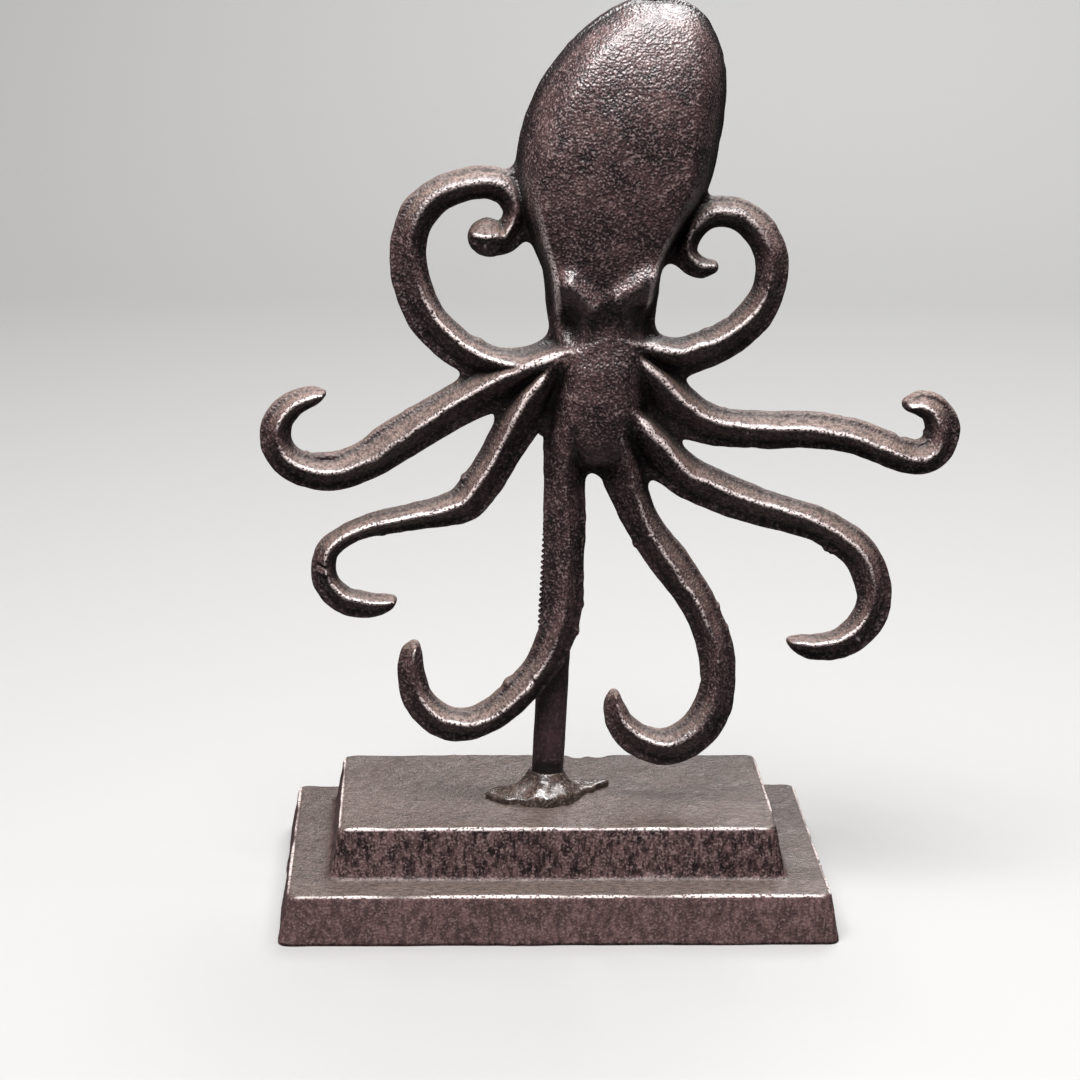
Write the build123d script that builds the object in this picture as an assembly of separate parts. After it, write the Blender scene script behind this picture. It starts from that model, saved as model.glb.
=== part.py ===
"""Octopus figurine: a flat-backed iron casting of an octopus, welded to a round post that
stands on a two-step iron base.

Frame: X to the viewer's right, Y away from the viewer, Z up. The origin is the middle of the
whole figurine's footprint, on the surface that it stands on. Lengths are millimetres, and
angles are degrees. A name that ends in share or shares holds fractions of a named size.
"""
from build123d import *
import math
import os

# Base casting
base_length = 122.0
base_depth = 75.0
base_offset = -11.1
lower_tier_height = 10.8
upper_tier_height = 11.4
tier_ledge = 8.9
tier_draft = 2.0
corner_radius = 3.0
edge_radius = 0.7
base_wall = 5.0

# Post, and the weld that holds its foot
shank_diameter = 7.1
thread_diameter = 8.0
thread_length = 52.0
post_length = 93.0
post_lean = 2.3
foot_offset_x = -1.9
foot_offset_y = -3.3
weld_height = 6.4
weld_reach = 12.0
weld_throat = 0.9

# Octopus casting
octopus_span = 152.0
octopus_height = 169.0
octopus_clearance = 9.1
arm_width = 10.0
arm_thickness = 6.8
arm_rim = 2.4
ridge_width = 1.8
root_thickness = 11.0
root_reach = 26.0
mantle_width = 42.6
mantle_thickness = 15.5
mantle_rim = 3.0
web_thickness = 3.4
brow_length = 9.4
brow_width = 4.6
brow_end = 1.5
brow_forward = 9.6
eye_diameter = 8.2
eye_forward = 11.0

# Beads that join the post to the back of the casting
bead_diameter = 5.0
bead_length = 9.0
bead_end = 1.4

# Sections of the octopus run past its flat back by this much before the back is cut.
overrun = 1.0

# An arm has a new section at least this often, and at least once in this much turn, in
# degrees. Its path is measured in the trial spacing. The body has this many steps in a row.
section_spacing = 4.5
section_turn = 15.0
trial_spacing = 0.5
body_steps = 2

# Each arm is a row of stations from the head to the tip: place along the span, height above
# the lowest arm, and width against the full arm width.
arm_shares = {
    "arm_left_crown": [
        (-0.020, 0.562, 0.85), (-0.057, 0.556, 0.84), (-0.089, 0.543, 0.82), (-0.126, 0.534, 0.79),
        (-0.167, 0.537, 0.79), (-0.198, 0.547, 0.80), (-0.228, 0.564, 0.81), (-0.261, 0.595, 0.83),
        (-0.281, 0.632, 0.81), (-0.290, 0.674, 0.80), (-0.283, 0.712, 0.76), (-0.262, 0.742, 0.76),
        (-0.231, 0.760, 0.72), (-0.188, 0.769, 0.70), (-0.158, 0.764, 0.73), (-0.142, 0.750, 0.70),
        (-0.136, 0.733, 0.66), (-0.141, 0.715, 0.63), (-0.153, 0.698, 0.60), (-0.173, 0.692, 0.57)],
    "arm_left_upper": [
        (-0.060, 0.549, 0.80), (-0.119, 0.527, 0.90), (-0.159, 0.512, 0.98), (-0.194, 0.497, 0.96),
        (-0.234, 0.477, 0.92), (-0.300, 0.441, 0.95), (-0.341, 0.416, 0.89), (-0.385, 0.398, 0.83),
        (-0.416, 0.396, 0.79), (-0.446, 0.403, 0.74), (-0.468, 0.418, 0.71), (-0.478, 0.441, 0.70),
        (-0.472, 0.465, 0.65), (-0.452, 0.485, 0.56), (-0.426, 0.495, 0.41), (-0.410, 0.499, 0.16)],
    "arm_left_middle": [
        (-0.073, 0.537, 0.80), (-0.109, 0.495, 0.93), (-0.135, 0.459, 0.92), (-0.158, 0.420, 0.85),
        (-0.183, 0.383, 0.87), (-0.207, 0.356, 0.81), (-0.240, 0.345, 0.68), (-0.295, 0.335, 0.55),
        (-0.339, 0.327, 0.50), (-0.376, 0.314, 0.47), (-0.401, 0.297, 0.50), (-0.410, 0.277, 0.55),
        (-0.406, 0.249, 0.58), (-0.383, 0.226, 0.60), (-0.347, 0.219, 0.54), (-0.324, 0.222, 0.40),
        (-0.312, 0.226, 0.20)],
    "arm_left_lower": [
        (-0.053, 0.501, 0.90), (-0.063, 0.442, 0.98), (-0.066, 0.383, 0.93), (-0.065, 0.330, 0.93),
        (-0.065, 0.271, 0.89), (-0.068, 0.204, 0.87), (-0.085, 0.156, 0.79), (-0.109, 0.121, 0.75),
        (-0.144, 0.087, 0.74), (-0.180, 0.064, 0.74), (-0.216, 0.056, 0.76), (-0.248, 0.065, 0.75),
        (-0.275, 0.091, 0.69), (-0.285, 0.125, 0.62), (-0.285, 0.149, 0.53), (-0.281, 0.163, 0.28)],
    "arm_right_lower": [
        (-0.007, 0.478, 0.90), (0.007, 0.427, 1.00), (0.019, 0.392, 0.98), (0.030, 0.361, 0.86),
        (0.053, 0.320, 0.82), (0.090, 0.274, 0.86), (0.122, 0.234, 0.80), (0.143, 0.197, 0.78),
        (0.157, 0.159, 0.81), (0.161, 0.121, 0.80), (0.155, 0.081, 0.84), (0.131, 0.045, 0.88),
        (0.090, 0.025, 0.86), (0.049, 0.033, 0.73), (0.020, 0.056, 0.63), (0.010, 0.082, 0.46),
        (0.010, 0.097, 0.24)],
    "arm_right_middle": [
        (0.013, 0.472, 0.90), (0.049, 0.439, 0.95), (0.081, 0.411, 0.93), (0.114, 0.389, 0.93),
        (0.164, 0.368, 0.90), (0.209, 0.353, 0.83), (0.255, 0.341, 0.77), (0.296, 0.329, 0.77),
        (0.333, 0.310, 0.80), (0.362, 0.288, 0.81), (0.379, 0.260, 0.80), (0.386, 0.228, 0.76),
        (0.373, 0.193, 0.74), (0.340, 0.168, 0.67), (0.302, 0.162, 0.56), (0.280, 0.166, 0.43),
        (0.266, 0.170, 0.22)],
    "arm_right_upper": [
        (0.013, 0.551, 0.80), (0.052, 0.518, 0.93), (0.088, 0.487, 1.00), (0.120, 0.467, 0.93),
        (0.159, 0.456, 0.84), (0.222, 0.453, 0.81), (0.284, 0.453, 0.80), (0.333, 0.448, 0.77),
        (0.372, 0.437, 0.77), (0.411, 0.423, 0.77), (0.440, 0.418, 0.77), (0.464, 0.429, 0.77),
        (0.473, 0.453, 0.76), (0.463, 0.477, 0.68), (0.443, 0.488, 0.57), (0.424, 0.488, 0.32)],
    "arm_right_crown": [
        (-0.014, 0.562, 0.86), (0.026, 0.560, 0.85), (0.062, 0.551, 0.84), (0.091, 0.548, 0.84),
        (0.118, 0.554, 0.83), (0.157, 0.569, 0.81), (0.197, 0.599, 0.78), (0.217, 0.633, 0.73),
        (0.221, 0.674, 0.72), (0.205, 0.707, 0.73), (0.177, 0.728, 0.69), (0.148, 0.734, 0.65),
        (0.125, 0.729, 0.65), (0.107, 0.715, 0.65), (0.097, 0.697, 0.64), (0.098, 0.680, 0.58),
        (0.109, 0.668, 0.52), (0.122, 0.663, 0.45), (0.137, 0.664, 0.30)],
}

# How much of each arm's length belongs to the body's casting, as its root.
root_shares = {
    "arm_left_crown": 0.40, "arm_left_upper": 0.33, "arm_left_middle": 0.26, "arm_left_lower": 0.20,
    "arm_right_lower": 0.21, "arm_right_middle": 0.22, "arm_right_upper": 0.31, "arm_right_crown": 0.25,
}

# The knob that ends the left crown arm: middle, and width against the full arm width.
knob_shares = (-0.180, 0.701, 0.80)
knob_edge_share = 0.28

# An arm keeps its full thickness at the body, has less of it left near the tip, and shrinks
# once more over its last stretch. The ridge is never wider than a share of the arm.
tip_thickness_share = 0.78
tip_end_share = 0.55
ridge_width_share = 0.55

# In a tight curl, half an arm's width is never more than this share of the curl's radius. A
# bend of less than the least turn, in radians, counts as straight.
curl_share = 0.92
least_turn = 0.001

# The body from its crown down to the fork between the lowest arms: height, middle along the
# span, width and thickness against the mantle's, and the dome's width against the rim's.
body_shares = [
    (1.000, 0.048, 0.14, 0.24, 0.72), (0.994, 0.050, 0.31, 0.42, 0.80), (0.981, 0.049, 0.48, 0.61, 0.85),
    (0.960, 0.042, 0.65, 0.78, 0.87), (0.931, 0.033, 0.80, 0.90, 0.88), (0.895, 0.022, 0.92, 0.97, 0.88),
    (0.854, 0.011, 0.98, 1.00, 0.88), (0.805, 0.001, 1.00, 1.00, 0.88), (0.754, -0.007, 0.94, 0.97, 0.87),
    (0.706, -0.014, 0.78, 0.91, 0.84), (0.662, -0.017, 0.62, 0.84, 0.79), (0.615, -0.017, 0.56, 0.77, 0.75),
    (0.575, -0.018, 0.53, 0.72, 0.76), (0.530, -0.018, 0.50, 0.67, 0.78), (0.480, -0.018, 0.46, 0.61, 0.80),
    (0.435, -0.020, 0.36, 0.52, 0.78), (0.400, -0.022, 0.16, 0.36, 0.70),
]

# The handles of a cubic arch stand this much further out than its crown.
arch_handle_share = 4 / 3

# Rounded crotches of the web, clockwise from the right of the neck: start, deepest point and
# end of each, along the span and up the height.
crotch_shares = [
    [(0.060, 0.606), (0.063, 0.583), (0.084, 0.575)], [(0.118, 0.527), (0.095, 0.515), (0.111, 0.499)],
    [(0.128, 0.439), (0.099, 0.438), (0.113, 0.422)], [(0.073, 0.383), (0.060, 0.389), (0.055, 0.375)],
    [(-0.015, 0.394), (-0.026, 0.410), (-0.033, 0.400)], [(-0.090, 0.428), (-0.101, 0.446), (-0.115, 0.436)],
    [(-0.170, 0.455), (-0.166, 0.469), (-0.180, 0.471)], [(-0.220, 0.516), (-0.208, 0.525), (-0.214, 0.538)],
    [(-0.128, 0.545), (-0.101, 0.563), (-0.093, 0.600)],
]

# Brow ridges and the eye hollows under them: middle along the span and up the height. Each
# brow slopes down towards the middle of the head, by its own angle.
brow_shares = [(-0.064, 0.645), (0.032, 0.648)]
brow_slopes = [-38.0, 33.0]
eye_shares = [(-0.068, 0.604), (0.036, 0.606)]

# Foot weld, seen from above: places round the post against its reach.
weld_foot_shares = [
    (1.30, 0.54), (0.78, 0.58), (0.30, 0.62), (-0.18, 0.60), (-0.66, 0.36), (-1.12, 0.02),
    (-1.22, -0.19), (-0.96, -0.46), (-0.52, -0.66), (-0.02, -0.76), (0.42, -0.58), (0.70, -0.10),
]
weld_rise_shares = [(0.0, 0.0), (0.34, 0.56), (1.0, 1.0)]

# Height of the beads' middle on the casting's back.
bead_height_share = 0.466
bead_side_share = 1.08

base_top = lower_tier_height + upper_tier_height
octopus_bottom = base_top + octopus_clearance
foot_x = base_offset + foot_offset_x
foot_y = foot_offset_y
back_y = foot_y - thread_diameter / 2
front = Vector(0, -1, 0)
back_plane = Plane(origin=(0, back_y, 0), z_dir=front)


def place(x_share, z_share, forward=0.0):
    """A point of the octopus, some distance in front of the casting's flat back."""
    return Vector(octopus_span * x_share, back_y - forward, octopus_bottom + octopus_height * z_share)


def drafted(footprint, height, bottom_z):
    """A block on a footprint, with sides that lean in by the draft."""
    placed = Plane(origin=(base_offset, 0, bottom_z)) * footprint
    return extrude(placed, amount=height, taper=math.degrees(math.atan2(tier_draft, height)))


def base_casting():
    """Two drafted steps in one casting, hollow underneath, with soft edges on both steps."""
    ledge = 2 * (tier_draft + tier_ledge)
    upper_length = base_length - ledge
    upper_depth = base_depth - ledge
    steps = drafted(RectangleRounded(base_length, base_depth, corner_radius), lower_tier_height, 0)
    steps += drafted(RectangleRounded(upper_length, upper_depth, corner_radius),
                     upper_tier_height, lower_tier_height)
    outer_edges = [e for e in steps.edges() if e.center().Z > lower_tier_height - edge_radius
                   and e.bounding_box().size.Z < edge_radius
                   and (e.center().Z > lower_tier_height + edge_radius
                        or abs(e.center().X - base_offset) > upper_length / 2 + edge_radius
                        or abs(e.center().Y) > upper_depth / 2 + edge_radius)]
    steps = fillet(outer_edges, edge_radius)
    wall = 2 * base_wall
    steps -= drafted(Rectangle(base_length - wall, base_depth - wall), lower_tier_height - base_wall, 0)
    steps -= drafted(Rectangle(upper_length - wall, upper_depth - wall), base_top - base_wall, 0)
    return steps


def post_axis(up=0.0):
    """A frame on the post's leaning axis, some distance up from the base."""
    lean = math.radians(post_lean)
    axis = Vector(math.sin(lean), 0, math.cos(lean))
    return Plane(origin=Vector(foot_x, foot_y, base_top) + axis * up, x_dir=(0, 1, 0), z_dir=axis)


def post():
    """A plain shank with a thicker threaded end, cut flat where it stands on the base."""
    buried = shank_diameter
    shank_length = post_length - thread_length
    on_axis = (Align.CENTER, Align.CENTER, Align.MIN)
    rod = post_axis(-buried) * Cylinder(shank_diameter / 2, shank_length + buried, align=on_axis)
    thread = Cylinder(thread_diameter / 2, thread_length, align=on_axis)
    ends = thread.edges().filter_by(GeomType.CIRCLE)
    rod += post_axis(shank_length) * chamfer(ends, (thread_diameter - shank_diameter) / 2)
    return split(rod, bisect_by=Plane.XY.offset(base_top), keep=Keep.TOP)


def weld_ring(rise, blend):
    """The foot weld's outline at one height, between its foot and the ring round the post."""
    throat = shank_diameter / 2 + weld_throat
    centre = post_axis(weld_height * rise).origin
    points = []
    for x_share, y_share in weld_foot_shares:
        foot = Vector(weld_reach * x_share, weld_reach * y_share, 0)
        ring = foot.normalized() * throat
        points.append(Vector(centre.X, centre.Y, base_top + weld_height * rise)
                      + foot * (1 - blend) + ring * blend)
    return make_face(Polyline(points, close=True))


def base_weld(rod):
    """A lumpy cone of weld metal round the foot of the post."""
    return loft([weld_ring(rise, blend) for rise, blend in weld_rise_shares], ruled=True) - rod


def back_weld(rod):
    """Two beads between the threaded end of the post and the casting's flat back."""
    radius = bead_diameter / 2
    height = octopus_height * bead_height_share + octopus_bottom - base_top
    middle = post_axis(height)
    bead = Cylinder(radius, bead_length)
    bead = chamfer(bead.edges().filter_by(GeomType.CIRCLE), bead_end)
    beads = []
    for side in (-1, 1):
        aside = side * bead_side_share * thread_diameter / 2
        forward = back_y - foot_y
        blob = middle * Pos(forward + weld_throat, aside, 0) * bead
        blob = split(blob, bisect_by=back_plane, keep=Keep.BOTTOM)
        beads.append((blob - rod).solids().sort_by(SortBy.VOLUME)[-1])
    return Compound(beads)


def arm_section(point, direction, width, thickness, rim):
    """Two low side walls, and two flanks that rise to a narrow ridge."""
    half = width / 2
    crest = min(ridge_width, width * ridge_width_share) / 2
    across = front.cross(direction)
    plane = Plane(origin=point, x_dir=across, z_dir=direction)
    corners = [(half, -overrun), (half, rim), (crest, thickness),
               (-crest, thickness), (-half, rim), (-half, -overrun)]
    return plane * make_face(Polyline(corners, close=True))


def section_places(path, start, end):
    """Places along part of a path, closer together where it turns, with one at each end."""
    trials = math.ceil(path.length * (end - start) / trial_spacing)
    places = [start + (end - start) * step / trials for step in range(trials + 1)]
    reach = [0.0]
    for a, b in zip(places, places[1:]):
        turn = (path % a).get_angle(path % b)
        reach.append(reach[-1] + path.length * (b - a) / section_spacing + turn / section_turn)
    count = max(2, round(reach[-1]))
    chosen = [min(range(trials + 1), key=lambda i: abs(reach[i] - reach[-1] * step / count))
              for step in range(count + 1)]
    return [places[i] for i in chosen]


def turn_radius(path, at):
    """Radius of a path's bend at one place, over a short run there."""
    run = trial_spacing / path.length
    before = max(0, at - run)
    after = min(1, at + run)
    turn = math.radians((path % before).get_angle(path % after))
    return path.length * (after - before) / max(turn, least_turn)


def arm_stretch(path, stations, fractions, start, end):
    """One solid along part of an arm's path, with straight-sided stretches between its sections."""
    sections = []
    for at in section_places(path, start, end):
        i = max(j for j in range(len(fractions) - 1) if fractions[j] <= at or j == 0)
        part_way = (at - fractions[i]) / (fractions[i + 1] - fractions[i])
        width_share = stations[i][2] + (stations[i + 1][2] - stations[i][2]) * part_way
        taper = 1 - (1 - tip_thickness_share) * at
        if at > fractions[-2]:
            taper *= 1 - (1 - tip_end_share) * part_way
        rise = max(0, 1 - path.length * at / root_reach) ** 2
        thickness = arm_thickness * taper + (root_thickness - arm_thickness) * rise
        width = min(arm_width * width_share, 2 * turn_radius(path, at) * curl_share)
        sections.append(arm_section(path @ at, path % at, width, thickness, arm_rim * taper))
    return loft(sections, ruled=True)


def arm_root_and_reach(name):
    """The root of an arm, which the body carries, and the arm from there to its tip."""
    stations = arm_shares[name]
    points = [place(x_share, z_share) for x_share, z_share, _ in stations]
    path = Spline(points)
    fractions = [path.param_at_point(point) for point in points]
    leave = root_shares[name]
    return (arm_stretch(path, stations, fractions, 0, leave),
            arm_stretch(path, stations, fractions, leave, 1))


def body_section(z_share, x_share, width_share, thickness_share, dome_share):
    """Rim walls, a bevelled step, and a domed front."""
    half = mantle_width * width_share / 2
    dome = half * dome_share
    thickness = mantle_thickness * thickness_share
    rim = mantle_rim * thickness_share
    shoulder = rim + (half - dome) / 2
    plane = Plane(origin=place(x_share, z_share), x_dir=(1, 0, 0), z_dir=(0, 0, 1))
    sides = Polyline([(dome, -shoulder), (half, -rim), (half, overrun), (-half, overrun),
                      (-half, -rim), (-dome, -shoulder)])
    handle = shoulder + (thickness - shoulder) * arch_handle_share
    arch = Bezier((-dome, -shoulder), (-dome, -handle), (dome, -handle), (dome, -shoulder))
    return plane * make_face(sides + arch)


def between(rows, at):
    """A row part way between two rows of a table, on a smooth curve through all its rows."""
    first = min(int(at), len(rows) - 2)
    t = at - first
    near = [rows[min(max(first + step, 0), len(rows) - 1)] for step in (-1, 0, 1, 2)]
    return [b + t * (c - a) / 2 + t ** 2 * (2 * a - 5 * b + 4 * c - d) / 2
            + t ** 3 * (3 * (b - c) + d - a) / 2 for a, b, c, d in zip(*near)]


def web():
    """A thin plate behind the roots of the arms, with a rounded crotch between each pair."""
    outline = Curve()
    corners = [[place(x, z, -overrun) for x, z in crotch] for crotch in crotch_shares]
    for i, (start, deepest, end) in enumerate(corners):
        outline += ThreePointArc(start, deepest, end)
        outline += Line(end, corners[(i + 1) % len(corners)][0])
    return extrude(make_face(outline), amount=web_thickness + overrun, dir=front)


def brow(x_share, z_share, slope):
    """A rounded ridge that slants across the front of the head."""
    ridge = Cylinder(brow_width / 2, brow_length, rotation=(0, 90, 0))
    ridge = chamfer(ridge.edges().filter_by(GeomType.CIRCLE), brow_end)
    return Pos(place(x_share, z_share, brow_forward)) * Rot(0, -slope, 0) * ridge


def knob():
    """The round end of the left crown arm, with a soft front edge."""
    x_share, z_share, width_share = knob_shares
    width = arm_width * width_share
    thickness = arm_thickness * tip_thickness_share
    button = Cylinder(width / 2, thickness, align=(Align.CENTER, Align.CENTER, Align.MIN))
    button = chamfer(button.edges().sort_by(Axis.Z)[-1], width * knob_edge_share)
    return Plane(origin=place(x_share, z_share), z_dir=front) * button


def octopus_body(roots):
    """Mantle, head and web in one casting with the root of every arm."""
    count = (len(body_shares) - 1) * body_steps
    sections = [body_section(*between(body_shares, step / body_steps)) for step in range(count + 1)]
    body = loft(sections, ruled=True)
    body += web()
    for root in roots:
        body += root
    for (x_share, z_share), slope in zip(brow_shares, brow_slopes):
        body += brow(x_share, z_share, slope)
    for x_share, z_share in eye_shares:
        body -= Pos(place(x_share, z_share, eye_forward)) * Sphere(eye_diameter / 2)
    return split(body, bisect_by=back_plane, keep=Keep.TOP)


def main():
    nodes = {"base_casting": base_casting(), "post": post()}
    nodes["base_weld"] = base_weld(nodes["post"])
    nodes["back_weld"] = back_weld(nodes["post"])
    arms = {}
    roots = []
    for name in arm_shares:
        root, arm = arm_root_and_reach(name)
        roots.append(root)
        arms[name] = split(arm, bisect_by=back_plane, keep=Keep.TOP)
    arms["arm_left_crown"] += knob()
    body = octopus_body(roots)
    nodes["octopus_body"] = body
    for name, arm in arms.items():
        nodes[name] = arm - body if name.endswith("crown") else arm
    os.makedirs("parts", exist_ok=True)
    for name, shape in nodes.items():
        export_step(shape, f"parts/{name}.step")


main()
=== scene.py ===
"""Octopus figurine: the looks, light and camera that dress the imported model.

Shapes are worked out in millimetres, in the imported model's own frame: X to the viewer's right,
Y away from the viewer, Z up. Meshes are written in metres.
"""
import math

import bpy
import numpy as np
from mathutils import Matrix, Vector


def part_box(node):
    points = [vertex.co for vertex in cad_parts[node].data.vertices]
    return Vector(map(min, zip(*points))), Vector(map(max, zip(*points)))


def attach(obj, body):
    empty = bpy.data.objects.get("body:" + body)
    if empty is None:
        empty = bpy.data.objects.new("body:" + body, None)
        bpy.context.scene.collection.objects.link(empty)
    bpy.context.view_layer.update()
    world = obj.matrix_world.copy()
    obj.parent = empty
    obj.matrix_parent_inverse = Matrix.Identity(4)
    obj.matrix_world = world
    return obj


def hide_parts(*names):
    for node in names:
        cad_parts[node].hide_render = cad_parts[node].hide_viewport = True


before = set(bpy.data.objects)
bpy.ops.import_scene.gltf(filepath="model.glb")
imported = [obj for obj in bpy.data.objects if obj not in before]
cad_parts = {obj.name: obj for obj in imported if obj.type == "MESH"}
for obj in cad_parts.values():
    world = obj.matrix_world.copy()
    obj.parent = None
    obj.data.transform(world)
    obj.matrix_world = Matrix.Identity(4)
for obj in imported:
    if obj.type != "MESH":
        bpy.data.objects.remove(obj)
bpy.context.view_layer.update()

MM = 0.001


def node_box(node):
    """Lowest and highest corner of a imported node, in millimetres."""
    low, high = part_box(node)
    return np.array(low) / MM, np.array(high) / MM


base_low, base_high = node_box("base_casting")
_, body_high = node_box("octopus_body")
weld_low, weld_high = node_box("base_weld")

# Base casting
base_x = (base_low[0] + base_high[0]) / 2
base_half = (base_high - base_low) / 2
base_top = base_high[2]
lower_tier_height = 10.8
tier_ledge = 8.9
tier_draft = 2.0
base_wall = 5.0
base_roof = 5.0
base_corner = 3.0
base_edge = 0.8
tier_join = 1.2
base_step = 0.5
# Pale paint along the steps' top edges, as abraded metal and painted highlight: width and strength.
edge_band_width = 0.5
edge_wear_and_highlight = 0.5

# Post
post_lean = math.radians(2.3)
foot = np.array([base_x - 1.9, -3.3, base_top])
shank_radius = 3.55
thread_radius = 4.0
thread_pitch = 1.25
thread_depth = 0.68
thread_flat = 0.175
thread_length = 55.0
post_length = 93.0
foot_depth = 0.3
run_out_turns = 2
post_sides = 64
shank_step = 1.0
turn_steps = 12
end_chamfer_length = 0.9
end_chamfer_depth = 0.6
scorch_height = 9.0

# Octopus casting
span = 152.0
height = 169.0
bottom = base_top + 9.1
back_y = body_high[1]
arm_half_width = 5.0
arm_thickness = 6.8
arm_rim = 2.2
root_thickness = 11.0
root_reach = 26.0
ridge_lift = 0.26
mantle_half_width = 21.3
mantle_thickness = 15.5
mantle_rim = 3.0
web_level = 3.0
grid_step = 0.34
# How fast the relief falls outside an outline, how wide the joins of its pieces are, and how its
# edges are rounded.
outside_fall = 2.0
outline_join = 3.2
body_join = 3.0
arm_join = 1.0
root_join = 3.0
knob_join = 1.2
wall_draft = 0.05
front_edge = 0.9
back_edge = 0.7
# An arm starts lower by this much, over this length. Its ridge is as round as these shares of its
# half width, and its flanks are hollow by these powers.
start_dip = 3.0
start_length = 6.0
ridge_round = 0.07
root_round = 0.36
blunt_round = 0.30
blunt_run = 0.06
flank_power = 1.35
lit_flank_power = 0.25
root_flank_power = 0.25
# Crests are painted pale, as abraded metal and as painted highlight: least where an arm runs
# steeply, and fully where it runs as level as the last of these, as level crests face the light.
least_crest_highlight = 0.22
crest_highlight_from = 0.1
crest_highlight_full = 0.65
# Mean width of an arm against its full width, by which its burrs and nicks are measured.
mean_width_share = 0.8
# The body's dome: share of its height at its edge, share of the half width that its curve takes,
# and how round the bevel is where it meets the wall.
dome_edge_share = 0.62
dome_curve_share = 0.97
bevel_round = 8.0
bevel_least = 1.2
bevel_most = 3.5
brow_width = 2.3
eye_edge = 1.3
# The lip of the knob: height, width, place over the middle, and bow.
lip_height = 1.1
lip_width = 0.7
lip_place = 0.6
lip_bow = 0.05
# Blurring passes on the relief that find its crests and its hollows, which are painted with shade,
# and blend one arm's share of painted crest highlight into the next.
crest_passes = 5
hollow_shade_passes = 60
blend_passes = 25
# Ranges over which a place comes to count as the front, as inside the outline, and as a crest.
facing_range = (0.6, 1.6)
inside_range = (0.3, 1.5)
crest_range = (0.05, 0.16)

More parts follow.
